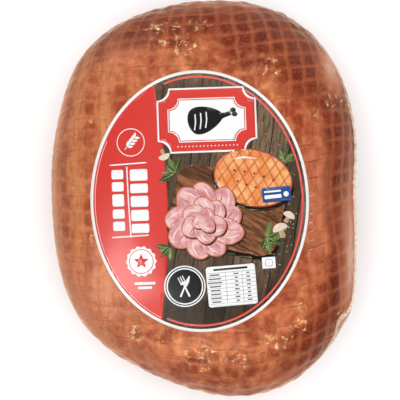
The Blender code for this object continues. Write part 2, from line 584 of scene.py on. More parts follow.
def lengths(points, axis):
    """Distance walked along an axis of an array of points, as a share of the whole."""
    steps = np.linalg.norm(np.diff(points, axis=axis), axis=-1)
    walked = np.cumsum(steps, axis=axis)
    walked = np.concatenate([np.zeros_like(np.take(walked, [0], axis)), walked], axis=axis)
    return walked / np.take(walked, [-1], axis)


def net_grid(search, columns, rows):
    """Points on the ham where evenly spaced threads would cross: rows + 1 by columns, pole to pole."""
    fine = np.linspace(0, 1, 721)
    girth = cast(search, net_directions(fine, np.full_like(fine, 0.5)))
    walked = lengths(girth, 0)
    along = np.linspace(0, 1, 241)[:, None]
    round_ham = (np.arange(columns) / columns)[None, :]
    swayed = round_ham + 0.0035 * wobble(round_ham, along, 3, 5) * np.sin(math.pi * along)
    walked = np.concatenate([walked[:-1] - 1, walked, walked[1:] + 1])
    turns = np.concatenate([fine[:-1] - 1, fine, fine[1:] + 1])
    share_round = np.interp(swayed.ravel(), walked, turns).reshape(swayed.shape)
    meridians = cast(search, net_directions(share_round, np.broadcast_to(along, swayed.shape)))
    walked = lengths(meridians, 0)
    wanted = np.arange(rows + 1) / rows
    grid = np.empty((rows + 1, columns, 3))
    for column in range(columns):
        lean = NET_LEAN * (1 + math.sin(2 * math.pi * column / columns)) / 2
        sway = (0.005 * wobble(round_ham[0, column], wanted, 3, 11) - lean) * np.sin(math.pi * wanted)
        for axis in range(3):
            grid[:, column, axis] = np.interp(
                wanted + sway, walked[:, column], meridians[:, column, axis]
            )
    return grid


def relax(grid, rounds):
    """Smooths a closed grid of points, or of numbers, and leaves its poles."""
    for _ in range(rounds):
        beside = (np.roll(grid, 1, 1) + np.roll(grid, -1, 1)) / 2
        grid = grid.copy()
        grid[1:-1] = 0.5 * grid[1:-1] + 0.25 * beside[1:-1] + 0.125 * (grid[2:] + grid[:-2])
    return grid


def grid_normals(grid):
    """Outward normals of a closed grid."""
    across = np.roll(grid, -1, 1) - np.roll(grid, 1, 1)
    along = np.empty_like(grid)
    along[1:-1] = grid[2:] - grid[:-2]
    along[0] = along[1]
    along[-1] = along[-2]
    normals = np.cross(along, across)
    normals[0] = normals[1].mean(0)
    normals[-1] = normals[-2].mean(0)
    normals /= np.linalg.norm(normals, axis=-1, keepdims=True)
    outward = np.einsum("...i,...i", normals, grid - np.array(HEART)).mean()
    return normals if outward > 0 else -normals


def sphere_on_grid(name, grid):
    """A UV sphere whose vertices are moved onto a closed grid of points."""
    rows, columns = grid.shape[0] - 1, grid.shape[1]
    add = bpy.ops.mesh.primitive_uv_sphere_add
    piece = new_piece(name, add, segments=columns, ring_count=rows, radius=1, calc_uvs=True)
    places = vertex_array(piece)
    row = np.rint(np.arccos(np.clip(places[:, 2], -1, 1)) / math.pi * rows).astype(int)
    turn = np.arctan2(places[:, 1], places[:, 0]) / (2 * math.pi)
    column = np.rint(turn * columns).astype(int) % columns
    set_vertices(piece, grid[row, column])
    edit_all(piece, bpy.ops.mesh.normals_make_consistent, inside=False)
    bpy.ops.object.shade_smooth()
    return piece


def under_label(grid):
    """How far inside the label's edge each point of the upper side lies: 1 well inside, 0 outside."""
    away = grid[..., :2] - np.array(LABEL_CENTRE)[:2]
    cos, sin = math.cos(LABEL_LEAN), math.sin(LABEL_LEAN)
    half_size = np.array([LABEL_HALF_WIDTH, LABEL_HALF_LENGTH]) * MM
    away = away @ np.array([[cos, -sin], [sin, cos]]) / half_size
    inside = np.clip((1.02 - np.linalg.norm(away, axis=-1)) / 0.05, 0, 1)
    return inside * (grid[..., 2] > HEART.z)


def counted(grid, row_step, column_step):
    """The numbers of a grid's rows, and of its columns, over a step."""
    rows, columns = grid.shape[:2]
    return (np.arange(rows) / row_step)[:, None], (np.arange(columns) / column_step)[None, :]


def net_relief(grid):
    """Height of the meat over its smooth surface: grooves where threads ran, pillows between."""
    along, across = counted(grid, STEPS_ALONG, STEPS_ACROSS)
    from_row = np.abs(along - np.rint(along))
    from_column = np.abs(across - np.rint(across))
    groove = np.maximum(
        np.exp(-((from_row / GROOVE_WIDTH) ** 2)), np.exp(-((from_column / GROOVE_WIDTH) ** 2))
    )
    pillow = np.sqrt(np.sin(math.pi * from_row) * np.sin(math.pi * from_column))
    share_along, share_round = counted(grid, len(grid) - 1, grid.shape[1])
    uneven = wobble(share_round, share_along, 9, 21)
    strength = np.clip(0.62 + 0.25 * uneven + 2.2 * grid[..., 0], 0.15, 1.15)
    fade = np.sin(math.pi * share_along) ** 0.35
    lumps = 0.5 * MM * wobble(share_round, share_along, 6, 33)
    return fade * (strength * (PILLOW_HEIGHT * pillow - GROOVE_DEPTH * groove) + lumps)


def hills(places, table):
    """The sum of soft hills at some places. Each hill has its middle, its reach and its height."""
    total = np.zeros(places.shape[:-1])
    for middle, reach, height in table:
        away = (places - np.array(middle)) / np.array(reach)
        total += height * np.exp(-((away**2).sum(-1)))
    return total


def rim_wrinkles(grid):
    """Small uneven wrinkles of the film round both ends."""
    share_along, share_round = counted(grid, len(grid) - 1, grid.shape[1])
    wrinkles = wobble(share_round, share_along, 46, 51) + wobble(share_round, share_along, 30, 52)
    near_end = np.clip((np.abs(grid[..., 1]) - 0.085) / 0.04, 0, 1)
    return 0.4 * MM * wrinkles * near_end


def film_height(meat):
    """The film bridges the grooves, and settles a little into them."""
    around = [np.roll(meat, step, 1) for step in (-2, -1, 0, 1, 2)]
    bridged = np.max(around, axis=0)
    padded = np.pad(bridged, ((2, 2), (0, 0)), mode="edge")
    bridged = np.max([padded[step : step + len(meat)] for step in range(5)], axis=0)
    bridged = relax(bridged[..., None], 2)[..., 0]
    return np.maximum(0.6 * bridged + 0.4 * meat, meat)


def mark_film(piece):
    """Writes how strongly the film is pinched at each vertex, and how strongly the meat there is lightened
    and made milky, for loose film and for a painted haze of reflected light.
    """
    places = vertex_array(piece) / MM
    strength = np.zeros(len(places))
    for x, y, reach_x, reach_y, power in PINCHES:
        away = ((places[:, 0] - x) / reach_x) ** 2 + ((places[:, 1] - y) / reach_y) ** 2
        strength = np.maximum(strength, power * np.exp(-0.5 * away))
    strength *= np.clip((places[:, 2] - 50) / 15, 0, 1)
    for name, values in (("pinched", strength), ("milky_film_and_painted_haze", hills(places * MM, MILKY_FILM_AND_PAINTED_HAZE))):
        piece.data.attributes.new(name, "FLOAT", "POINT").data.foreach_set("value", values)


def make_ham(search, marks):
    """The meat, with the net's print in its surface, and the film over it."""
    columns = NET_COLUMNS * STEPS_ACROSS
    rows = NET_ROWS * STEPS_ALONG
    grid = relax(net_grid(search, columns, rows), 6)
    normals = grid_normals(grid)
    flat = 1 - 0.85 * under_label(grid)
    relief = net_relief(grid) * flat

    def raised(height, floor):
        places = grid + normals * height[..., None]
        places[..., 2] = np.maximum(places[..., 2], floor)
        return places

    swollen = hills(grid, SWELLS) + rim_wrinkles(grid)
    meat = sphere_on_grid("glazed_meat", raised(MEAT_LIFT + relief + swollen, MEAT_FLOOR))
    meat.data.materials.append(meat_material(marks))
    mark_film(meat)
    bridged = film_height(relief)
    film = sphere_on_grid("clear_film", raised(FILM_LIFT + bridged + swollen, FILM_FLOOR))
    film.data.materials.append(film_material())
    mark_film(film)
    return meat, film


# ---- creases and the seam of the film


# Where the film is pinched: x and y in mm, the reach both ways, and how strongly
PINCHES = (
    (-14, 109, 7, 5, 1.0), (-30, 123, 11, 3, 0.8), (-4, 124, 8, 3, 0.6), (-30, 112, 8, 4, 0.5),
    (48, 92, 4, 6, 0.8), (40, 88, 3, 3, 0.7), (-80, 55, 2.5, 1.2, 1.0), (-78, -28, 2, 3, 0.8),
    (-49, -97, 4, 4, 0.9), (-31, -102, 3, 2, 0.8), (1, -114, 7, 6, 1.0), (-12, -113, 3, 3, 0.8),
    (1, -121, 5, 2.5, 0.8), (24, -113, 4, 4, 1.0), (25, -120, 4, 2, 0.8), (49, -105, 8, 6, 0.6),
    (58, -97, 3, 3, 0.8), (68, -89, 5, 5, 0.8), (104, 66, 1.5, 3, 0.9), (92, 74, 6, 8, 0.45),
    (78, 58, 3, 6, 0.5), (100, -88, 4, 7, 1.0), (94, -98, 4, 5, 0.9), (70, -78, 3, 8, 0.5),
    (-95, 10, 3, 14, 0.3),
)
# Groups of single folds: x and y in mm, the reach both ways, and how many
FOLDS = (
    (-14, 109, 6, 4, 5), (-30, 123, 10, 2, 4), (45, 91, 4, 5, 3), (-49, -97, 3, 3, 4), (-31, -102, 3, 1, 2),
    (-2, -113, 4, 3, 4), (24, -114, 3, 4, 3), (60, -96, 6, 5, 4), (100, 68, 2, 4, 2), (92, 70, 5, 8, 3),
)
CREASE_HEIGHT = 0.3 * MM
CREASE_WIDTH = 0.5 * MM


def surface_below(search, x, y):
    """The surface below a place, and its normal."""
    hit, normal, _, _ = search.ray_cast(Vector((x, y, 1)), Vector((0, 0, -1)))
    return hit, normal


def crease(search, middle, heading, length, bend):
    """A pinch of film: a low ridge with three rows of points, thin at both ends."""
    points = 6
    piece = new_grid("crease", points - 1, 2)
    places = vertex_array(piece)
    for place in places:
        share, side = place[0], place[1]
        turn = heading + bend * share
        x = middle[0] + length / 2 * share * math.cos(turn)
        y = middle[1] + length / 2 * share * math.sin(turn)
        slender = 1 - share * share
        x -= side * CREASE_WIDTH / 2 * slender * math.sin(turn)
        y += side * CREASE_WIDTH / 2 * slender * math.cos(turn)
        hit, normal = surface_below(search, x, y)
        up = CREASE_HEIGHT * slender if abs(side) < 0.5 else -0.1 * MM
        place[:] = hit + normal * up
    set_vertices(piece, places)
    return piece


def make_creases(search):
    """All the film's pinches, as one piece."""
    chance = random.Random(17)
    made = []
    for x, y, reach_x, reach_y, count in FOLDS:
        for _ in range(count):
            middle = (
                (x + reach_x * chance.uniform(-1, 1)) * MM,
                (y + reach_y * chance.uniform(-1, 1)) * MM,
            )
            heading = chance.gauss(0.2, 0.7)
            length = chance.uniform(1.4, 4.0) * MM
            made.append(crease(search, middle, heading, length, chance.uniform(-0.5, 0.5)))
            if chance.random() < 0.4:
                made.append(crease(search, middle, heading + chance.uniform(0.7, 1.6), length * 0.8, 0.2))
    for step in range(7):
        away = Vector((LABEL_HALF_WIDTH + 2.0, 4 - 6.4 * step)) * MM
        middle = (LABEL_CENTRE.x + away.x, LABEL_CENTRE.y + away.y)
        made.append(crease(search, middle, 0.35, 4 * MM, 0.2))
    piece = join("film_creases", made)
    apply_modifier(piece, "SOLIDIFY", thickness=0.05 * MM, offset=-1)
    # The warm cream colour of the pinches is a painted glint, on top of the film's own gloss.
    piece.data.materials.append(creased_film_material("pinched film with painted glints", (0.98, 0.82, 0.6), (0.3, 0.85)))
    return piece


def make_seam(search):
    """The bag's welded seam down the right side: a low fin, gathered where it ends at the lower corner."""
    piece = new_grid("film_seam", 5, 200)
    places = vertex_array(piece)
    for place in places:
        out = (place[0] + 1) / 2
        share = (place[1] + 1) / 2
        turn = math.radians(SEAM_HEADINGS[0] + (SEAM_HEADINGS[1] - SEAM_HEADINGS[0]) * share)
        outward = Vector((math.cos(turn), math.sin(turn), 0))
        gathered = math.exp(-(((math.degrees(turn) - SEAM_CORNER) / 5) ** 2))
        level = SEAM_LEVEL + (4 * noise.noise((5 * share, 2.7, 0)) + 12 * gathered) * MM
        hit, normal, _, _ = search.ray_cast(outward + Vector((0, 0, level)), -outward)
        height = (SEAM_HEIGHT + gathered * SEAM_GATHER) * min(1, 8 * share, 8 * (1 - share))
        height *= 1 + 0.2 * noise.noise((60 * share, 0.5, 0))
        ripple = noise.noise((260 * share, 0.9 * out, 4.2)) * (0.25 + 3.0 * gathered) * out
        rise = outward * (1 - 0.4 * gathered) + Vector((0, 0, 0.35 + 0.4 * gathered))
        place[:] = hit - normal * 0.1 * MM + rise * height * out
        place[2] += ripple * MM
    set_vertices(piece, places)
    apply_modifier(piece, "SUBSURF", levels=1, render_levels=1)
    apply_modifier(piece, "SOLIDIFY", thickness=SEAM_THICKNESS, offset=0)
    pick(piece)
    bpy.ops.object.shade_smooth()
    piece.data.materials.append(creased_film_material("welded film", (0.9, 0.74, 0.6), (0.3, 0.8)))
    return piece


# ---- the label

# Sizes and places on the label are in mm from its middle, as seen upright


def on_oval(inset, turn):
    """A point on an oval that runs inside the label's edge. turn is in degrees from the right, upwards."""
    turn = math.radians(turn)
    return ((LABEL_HALF_WIDTH - inset) * math.cos(turn), (LABEL_HALF_LENGTH - inset) * math.sin(turn))


def steps(start, end, count):
    return [start + (end - start) * step / (count - 1) for step in range(count)]


def placed(points, middle=(0, 0), turn=0.0, size=1.0):
    """Points turned by some degrees, sized, and moved to a middle."""
    turn = math.radians(turn)
    cos, sin = size * math.cos(turn), size * math.sin(turn)
    return [(middle[0] + x * cos - y * sin, middle[1] + x * sin + y * cos) for x, y in points]


def within(place, x, y):
    """Where a shape goes that lies inside another placed shape, with the same turn."""
    return dict(place, middle=placed([(x, y)], **place)[0])


def beside(spot, x, y):
    return (spot[0] + x, spot[1] + y)


def polar(radius, turn):
    return (radius * math.cos(turn), radius * math.sin(turn))


def oval(half_width, half_height, corners=40):
    turns = steps(0, 2 * math.pi, corners + 1)[:-1]
    return [(half_width * math.cos(turn), half_height * math.sin(turn)) for turn in turns]


def box(width, height, rounding, scooped=False):
    """A rectangle whose corners are rounded, or scooped out."""
    points = []
    inset = 0 if scooped else rounding
    for quarter, side_x, side_y in ((0, 1, 1), (1, -1, 1), (2, -1, -1), (3, 1, -1)):
        corner = (side_x * (width / 2 - inset), side_y * (height / 2 - inset))
        for part in steps(0, 90, 7):
            turn = math.radians(quarter * 90 + (270 - part if scooped else part))
            points.append(beside(corner, *polar(rounding, turn)))
    return points


def leaf(length, width):
    """A pointed leaf from its stem at the origin."""
    along = steps(0, 1, 9)
    side = [(length * part, width / 2 * math.sin(math.pi * part**0.8)) for part in along]
    return side + [(x, -y) for x, y in reversed(side[1:-1])]


class Press:
    """Lays flat shapes on the label, sheet by sheet. Each sheet becomes one piece.

    An ink is the name of a flat one, or a material. Higher layers lie over lower ones.
    """

    def __init__(self, search, inks):
        self.search = search
        self.inks = inks
        self.sheets = {}

    def on(self, sheet):
        """The two ways of laying shapes, for one sheet."""
        return partial(self.cut_out, sheet), partial(self.stroke, sheet)

    def keep(self, sheet, shape, ink):
        shape.data.materials.append(self.inks.plain(ink) if isinstance(ink, str) else ink)
        self.sheets.setdefault(sheet, []).append(shape)

    def cut_out(self, sheet, ink, layer, points, **place):
        """A filled outline."""
        points = placed(points, **place)
        add = bpy.ops.mesh.primitive_circle_add
        shape = new_piece(sheet, add, vertices=len(points), fill_type="NGON")
        places = np.array([(x, y, layer * INK_STEP / MM) for x, y in points]) * MM
        set_vertices(shape, places)
        self.keep(sheet, shape, ink)

    def stroke(self, sheet, ink, layer, points, width, **place):
        """A ribbon along a line. width is one number, or one for each point."""
        points = np.array(placed(points, **place))
        along = np.gradient(points, axis=0)
        along /= np.linalg.norm(along, axis=1, keepdims=True)
        half_width = np.broadcast_to(width, len(points)) / 2
        aside = np.stack([-along[:, 1], along[:, 0]], 1) * half_width[:, None]
        shape = new_grid(sheet, len(points) - 1, 1)
        grid = vertex_array(shape)
        column = np.rint((grid[:, 0] + 1) / 2 * (len(points) - 1)).astype(int)
        flat = points[column] + aside[column] * np.sign(grid[:, 1])[:, None]
        set_vertices(shape, np.column_stack([flat, np.full(len(flat), layer * INK_STEP / MM)]) * MM)
        self.keep(sheet, shape, ink)

    def finish(self):
        """Joins each sheet into a piece, cuts it so that it can bend, and lays it on the label."""
        pieces = []
        for name, shapes in self.sheets.items():
            piece = join(name, shapes)
            score_for_bending(piece)
            lay_down(piece, self.search)
            apply_modifier(piece, "SOLIDIFY", thickness=INK_THICKNESS, offset=-1)
            pieces.append(piece)
        return pieces


def score_for_bending(piece):
    """Cuts a flat piece along a fine grid, so that it can follow the ham."""
    edit_all(piece, bpy.ops.mesh.quads_convert_to_tris)
    places = vertex_array(piece)
    low, high = places.min(0), places.max(0)
    mesh = bmesh.new()
    mesh.from_mesh(piece.data)
    for axis, normal in ((0, (1, 0, 0)), (1, (0, 1, 0))):
        first = math.ceil(low[axis] / BEND_STEP)
        last = math.floor(high[axis] / BEND_STEP)
        for line in range(first, last + 1):
            point = Vector(normal) * line * BEND_STEP
            whole = mesh.verts[:] + mesh.edges[:] + mesh.faces[:]
            bmesh.ops.bisect_plane(mesh, geom=whole, dist=1e-7, plane_co=point, plane_no=normal)
    mesh.to_mesh(piece.data)
    mesh.free()


def lay_down(piece, search):
    """Turns a flat piece to the label's lean, sets it in place and drops it onto the ham.

    A point's height over the flat is kept as its height over the label's underside.
    """
    piece.rotation_euler.z = LABEL_LEAN
    piece.location = LABEL_CENTRE
    bake_place(piece)
    places = vertex_array(piece)
    for place in places:
        hit, normal = surface_below(search, place[0], place[1])
        place[:] = hit + normal * (LABEL_LIFT + place[2])
    set_vertices(piece, places)
    edit_all(piece, bpy.ops.mesh.normals_make_consistent, inside=False)
    if piece.data.polygons[0].normal.z < 0:
        piece.data.flip_normals()
    bpy.ops.object.shade_smooth()


def print_mottle():
    """The slight unevenness of printed gloss paper."""
    group, tree, given, give = new_group(
        "Print mottle",
        {"Place": (VECTOR, None), "Ink": (COLOUR, None), "Strength": (FLOAT, 0.1)},
        {"Ink": COLOUR, "Height": FLOAT},
    )
    grain = tree.noise(given["Place"], 900)
    broad = tree.noise(given["Place"], 90)
    share = tree.times(tree.ramp(grain, 0.3, 0.7), given["Strength"])
    darker = tree.blend(share, given["Ink"], (0.0, 0.0, 0.0))
    give(Ink=darker, Height=tree.scaled(broad, 3.0, grain))
    return group


INK_COLOURS = {
    "red": (224, 50, 40),
    "coral": (246, 84, 80),
    "pale line": (250, 190, 180),
    "white": (250, 250, 250),
    "black": (30, 29, 31),
    "grey": (96, 94, 94),
    "blue": (22, 78, 150),
    "shadow": (30, 19, 14),
    "highlight": (255, 240, 220),
    "clove": (84, 40, 22),
    "rind": (150, 66, 28),
    "crust": (206, 104, 58),
    "fold": (196, 112, 116),
    "sheen": (252, 222, 216),
    "leaf": (100, 122, 56),
    "dark leaf": (62, 82, 36),
    "vein": (168, 180, 108),
    "cream": (232, 214, 188),
    "tan": (196, 160, 122),
    "peppercorn": (34, 26, 24),
    "pink peppercorn": (196, 60, 62),
    "dried herb": (134, 136, 84),
    "pale herb": (176, 172, 116),
}


class Inks:
    """The label's inks, all with the same gloss. Each flat one is made once."""

    def __init__(self):
        self.mottle = print_mottle()
        self.made = {}

    def finish(self, tree, place, ink, strength=0.06):
        print_marks = tree.group(self.mottle, {"Place": place, "Ink": ink, "Strength": strength})
        sockets = {
            "Base Color": print_marks["Ink"],
            "Roughness": 0.32,
            "Specular IOR Level": 0.4,
            "Coat Weight": 0.55,
            "Coat Roughness": 0.2,
            "Normal": tree.bump(print_marks["Height"], 0.02 * MM, 0.6),
        }
        tree.surface(PRINCIPLED, sockets)

    def flat(self, name, colour, strength):
        """One even colour. strength is how much the paper's grain darkens it."""
        material, tree, place = new_material(name, paint(*colour))
        self.finish(tree, place, paint(*colour), strength)
        return material

    def plain(self, ink):
        """A flat ink of the list above."""
        if ink not in self.made:
            self.made[ink] = self.flat("printed " + ink, INK_COLOURS[ink], strength=0.08)
        return self.made[ink]

    def pattern(self, name, rough_colour, draw):
        """An ink that changes over the label, as the function draws it."""
        material, tree, place = new_material("printed " + name, paint(*rough_colour))
        self.finish(tree, place, draw(tree, place))
        return material


# The inks that change over the label. Each function gives a colour for a place.


def planks(tree, place):
    """Dark old boards that run up the label, each of its own shade."""
    turned = tree.place(place, turn=math.radians(9))
    board = tree.maths("DIVIDE", tree.split(turned)[0], 13.5 * MM)
    number = tree.maths("FLOOR", board)
    shade = tree.add("ShaderNodeTexWhiteNoise", {"W": number}, noise_dimensions="1D").outputs["Value"]
    wood = tree.blend(shade, paint(92, 72, 56), paint(138, 110, 84))
    grain = tree.noise(turned, 700, 4, 0.7, stretch=(1, 0.06, 1))
    wood = tree.blend(tree.ramp(grain, 0.4, 0.66, 0.0, 0.7), wood, paint(44, 32, 25))
    knots = tree.noise(turned, 120, 3, 0.6, stretch=(1, 0.2, 1))
    wood = tree.blend(tree.ramp(knots, 0.55, 0.75, 0.0, 0.6), wood, paint(150, 104, 62))
    gap = tree.ramp(tree.maths("PINGPONG", board, 0.5), 0.0, 0.07, 0.85, 0.0)
    wood = tree.blend(gap, wood, paint(16, 12, 10))
    foot = tree.split(place)[1]
    return tree.blend(tree.ramp(foot, -0.035, -0.085, 0.0, 0.75), wood, paint(30, 18, 13))


def chopping_board(tree, place):
    """A warm brown chopping board."""
    turned = tree.place(place, turn=math.radians(-62))
    grain = tree.noise(turned, 420, 4, 0.65, stretch=(1, 0.08, 1))
    return tree.blend(tree.ramp(grain, 0.35, 0.65), paint(160, 100, 56), paint(84, 46, 26))


def glaze(tree, place):
    """An orange glaze that is scored in diamonds."""
    shine = tree.noise(place, 90, 3, 0.6)
    colour = tree.blend(tree.ramp(shine, 0.4, 0.65), paint(238, 140, 66), paint(252, 186, 120))
    for turn in (38, -28):
        across = tree.split(tree.place(place, turn=math.radians(turn)))[0]
        score = tree.maths("PINGPONG", tree.maths("DIVIDE", across, 6.2 * MM), 0.5)
        colour = tree.blend(tree.ramp(score, 0.02, 0.16, 0.75, 0.0), colour, paint(204, 88, 34))
    return colour


def slice_face(tree, place):
    """The pink of a cut slice, marbled."""
    marbling = tree.noise(place, 130, 4, 0.6)
    return tree.blend(tree.ramp(marbling, 0.38, 0.62), paint(216, 142, 146), paint(242, 192, 188))


def label_field(press, inks):
    """The label's dark boards, its red side with a curved edge, and the thin lines inside the rim."""
    rim_width = 2.1
    boards = inks.pattern("planks", (70, 54, 42), planks)
    press.cut_out("print_boards", boards, 1, [on_oval(rim_width, turn) for turn in steps(0, 356, 90)])
    top, bottom = 113, 247  # where the red side meets the rim
    rim = [on_oval(rim_width, turn) for turn in steps(top, bottom, 44)]
    start, end = rim[-1], rim[0]
    edge = []
    for part in steps(0, 1, 16)[1:-1]:
        bow = 7 * math.sin(math.pi * part)
        edge.append((start[0] + (end[0] - start[0]) * part + bow, start[1] + (end[1] - start[1]) * part))
    press.cut_out("print_red", "red", 2, rim + edge)
    round_boards = [on_oval(4.7, turn) for turn in steps(top - 5, bottom - 358, 90)]
    press.stroke("print_lines", "coral", 3, round_boards, 1.4)
    round_red = [on_oval(3.5, turn) for turn in steps(150, bottom - 1, 40)]
    press.stroke("print_lines", "pale line", 3, round_red, 0.55)


def label_plaque(press):
    """A red and white plaque with scooped corners, and a black ham in it."""
    cut, draw = press.on("print_plaque")
    middle = (7, 57)
    for layer, ink, width, height, scoop in (
        (5, "white", 70, 46, 8.5),
        (6, "red", 67.6, 43.6, 8.3),
        (7, "white", 55, 31, 7.5),
        (8, "red", 53.6, 29.6, 7.3),
        (9, "white", 52.4, 28.4, 7.2),
    ):
        cut(ink, layer, box(width, height, scoop, scooped=True), middle=middle)
    body = []
    for turn in steps(0, 2 * math.pi, 49)[:-1]:
        cos, sin = math.cos(turn), math.sin(turn)
        body.append((12.5 * cos * (1 + 0.16 * cos), 9.6 * sin * (1 - 0.22 * cos)))
    cut("black", 10, body, middle=beside(middle, -3, 0), turn=12)
    draw("black", 10, [(8, 1.8), (13, 3), (17, 4.2)], (5.5, 3.2, 3), middle=middle)
    for knuckle in ((18.6, 6.2), (19.6, 3.4)):
        cut("black", 10, oval(2, 1.8, 16), middle=beside(middle, *knuckle))
    for step in (-8.5, -4.5, -0.5):
        line = [(step - 1.5, -5.5), (step + 0.4, 0), (step + 1.1, 5.5)]
        draw("white", 11, line, 0.9, middle=middle, turn=10)
    for step in range(-8, 9):
        cut("white", 8, oval(0.5, 0.5, 8), middle=beside(middle, step * 2.6, -18.4))


def label_red_side(press):
    """On the red side: a sprig in a ring, two columns of plain blocks between rules, and a lobed badge."""
    cut, draw = press.on("print_marks")
    sprig = (-47, 43)
    draw("white", 4, oval(9.6, 9.6, 48) + [(9.6, 0)], 0.6, middle=sprig)
    draw("white", 4, [(-4.5, -5), (0, 0), (3.6, 5)], 0.5, middle=sprig)
    for step in steps(-3, 3, 4):
        for turn in (80, 0):
            cut("white", 4, leaf(4.2, 1.9), middle=beside(sprig, step * 0.85, step), turn=turn)
    cut, _ = press.on("print_blocks")
    for side, width, heights in (
        (-57.2, 8.4, (6.6, 6.6, 8.6, 6.6, 6.6)),
        (-42.2, 12.4, (8.2, 6.6, 7.8, 7.8, 6.6)),
    ):
        level = 24.0
        for height in heights:
            cut("white", 4, box(width, height, 1.3), middle=(side, level - height / 2))
            level -= height + 2.0
    _, draw = press.on("print_rules")
    draw("white", 4, [(-50.4, 26), (-50, 0), (-49, -24)], 0.9)
    for level in (28.0, -23.0):
        draw("white", 4, [(-62.5, level - 0.6), (-36.5, level + 0.4)], 0.9)
    badge_cut, draw = press.on("print_badge")
    badge = (-42.5, -41)
    lobes = [polar(10.4 + 0.55 * math.cos(14 * turn), turn) for turn in steps(0, 2 * math.pi, 99)[:-1]]
    badge_cut("white", 4, lobes, middle=badge)
    draw("red", 5, oval(8.4, 8.4, 40) + [(8.4, 0)], 0.6, middle=badge)
    star = [polar((5.6, 2.5)[corner % 2], math.pi / 2 - math.pi * corner / 5) for corner in range(10)]
    badge_cut("red", 5, star, middle=badge)
    for level, width in ((-56.5, 15), (-59.6, 10)):
        cut("white", 4, box(width, 1.8, 0.7), middle=(-40.5, level))


def label_table(press):
    """A ruled table of bars, and a bare square."""
    cut, draw = press.on("print_table")
    table = dict(middle=(20.5, -60), turn=3)
    cut("black", 4, box(35.4, 29.4, 2.4), **table)
    cut("white", 5, box(34.6, 28.6, 2.0), **table)
    cut("black", 6, box(24, 1.5, 0.4), **within(table, 0, 11.9))
    chance = random.Random(8)
    *levels, foot = steps(9.6, -12.2, 9)
    for row, level in enumerate(levels):
        draw("black" if row in (0, 2) else "grey", 6, [(-17, level), (17, level)], 0.22, **table)
        widths = chance.uniform(6, 10), chance.uniform(2, 3.6), chance.uniform(2, 3.6)
        for column, width in zip((-11.5, 3.6, 12), widths):
            cut("grey", 6, box(width, 0.95, 0.3), **within(table, column, level - 1.35))
    draw("grey", 6, [(-17, foot), (17, foot)], 0.22, **table)
    for column in (-3.8, 7.8):
        draw("grey", 6, [(column, levels[0]), (column, foot)], 0.22, **table)
    square = (47, -45)
    cut("white", 4, box(9.4, 8, 0.5), middle=square, turn=2)
    draw("grey", 5, placed(box(5, 4.4, 1) + [(2.5, 1.2)], middle=square), 0.3)


def label_medal(press):
    """A dark round medal with a fork and a knife."""
    cut, draw = press.on("print_medal")
    medal = (-12.5, -59.5)
    for layer, radius in ((4, 14.6), (5, 13.7), (6, 12.9), (7, 12.0)):
        cut("black" if layer % 2 else "white", layer, oval(radius, radius, 56), middle=medal)
    fork = dict(middle=medal, turn=24)
    knife = dict(middle=medal, turn=-24)
    draw("white", 8, [(0, -8), (0, -1), (0, 2.2)], (1.4, 1.1, 1.5), **fork)
    cut("white", 8, box(4.4, 1.8, 0.8), **within(fork, 0, 2.6))
    for tine in (-1.7, 0, 1.7):
        draw("white", 8, [(tine, 2.4), (tine, 7.6)], 0.7, **fork)
    draw("white", 9, [(0, -8), (0, -1), (0, 0.5)], (1.4, 1.1, 1.5), **knife)
    draw("white", 9, [(0, 0), (0.4, 4), (0.2, 8)], (2.4, 2.7, 0.7), **knife)


def label_note(press):
    """A small blue box with two bars and a dot."""
    cut, _ = press.on("print_note")
    note = dict(middle=(54, 3), turn=4)
    cut("blue", 9, box(20.5, 10.4, 1.2), **note)
    for level, height in ((2.3, 1.3), (-1.4, 2.6)):
        cut("white", 10, box(12, height, 0.5), **within(note, -2.6, level))
    cut("white", 10, oval(1.9, 1.9, 20), middle=within(note, 6.8, -0.4)["middle"])


def label_ham(press, inks):
    """A scored, glazed ham on a board."""
    cut, _ = press.on("print_board")
    cut("shadow", 2, box(80, 56, 12), middle=(19.5, -9.6), turn=-14)
    brown = inks.pattern("board", (130, 78, 44), chopping_board)
    cut(brown, 3, box(78, 54, 12), middle=(19, -7), turn=-14)
    cut, draw = press.on("print_ham")
    ham = dict(middle=(38, 15), turn=-16)
    cut("shadow", 4, oval(29.5, 20), middle=(38, 12.4), turn=-16)
    cut("rind", 5, oval(28.4, 20.2), **ham)
    cut(inks.pattern("glaze", (240, 150, 80), glaze), 6, oval(27.4, 19.2), **ham)
    for step in range(-2, 3):
        dip = 0.3 * step**2
        for clove in ((7 * step, 3.2 - dip), (3.2 + 6.6 * step, dip - 6)):
            cut("clove", 7, oval(0.8, 0.8, 8), middle=within(ham, *clove)["middle"])
    draw("highlight", 7, [(-18, 9), (-10, 12.6), (0, 14)], (0.2, 1.5, 0.2), **ham)


def wavy_oval(half_width, half_height, shift):
    """A slice's outline: an oval with slow waves."""
    points = []
    for x, y in oval(half_width, half_height, 30):
        turn = math.atan2(y, x)
        wide, high = 1 + 0.05 * math.sin(3 * turn + shift), 1 + 0.05 * math.cos(2 * turn + shift)
        points.append((x * wide, y * high))
    return points


